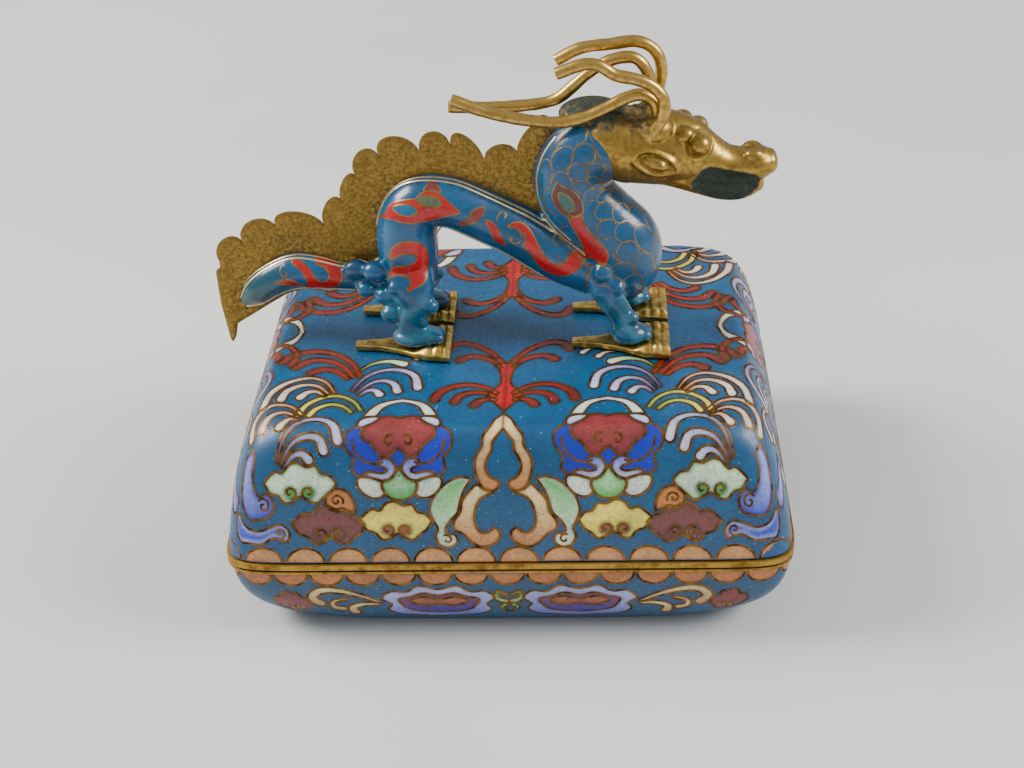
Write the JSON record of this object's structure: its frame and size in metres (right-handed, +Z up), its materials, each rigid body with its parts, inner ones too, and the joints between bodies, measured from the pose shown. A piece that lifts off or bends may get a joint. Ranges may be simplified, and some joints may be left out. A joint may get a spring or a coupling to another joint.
{
  "type": "cloisonne music box",
  "caption": "Hollow enamelled box with a domed lift-off lid, carrying an enamelled dragon with a cast brass head, wire horns, scalloped crest and foot plates.",
  "frame": {"origin": "middle of the flat underside of the tray", "axes": "+Z up out of the lid, +X the way the dragon looks, along the box's long side"},
  "size_m": [0.1089, 0.083, 0.1013],
  "materials": {
    "box_enamel": "glossy turquoise vitreous enamel on copper",
    "figure_enamel": "glossy blue vitreous enamel on copper",
    "rim_brass": "dull, tarnished",
    "sheet_brass": "dull, brushed, grimy at the root",
    "cast_brass": "cast, worn bright on the high spots",
    "wire_brass": "drawn wire, lightly tarnished"
  },
  "bodies": {
    "root": {"tray": "box_enamel", "lid": "box_enamel", "tray_rim": "rim_brass", "lid_rim": "rim_brass", "dragon_body": "figure_enamel", "crest": "sheet_brass", "dragon_head": "cast_brass", "horn_near_long": "wire_brass", "horn_near_upper": "wire_brass", "horn_far_long": "wire_brass", "horn_far_upper": "wire_brass", "foot_rear_near": "cast_brass", "foot_rear_far": "cast_brass", "foot_front_near": "cast_brass", "foot_front_far": "cast_brass"}
  },
  "joints": []
}
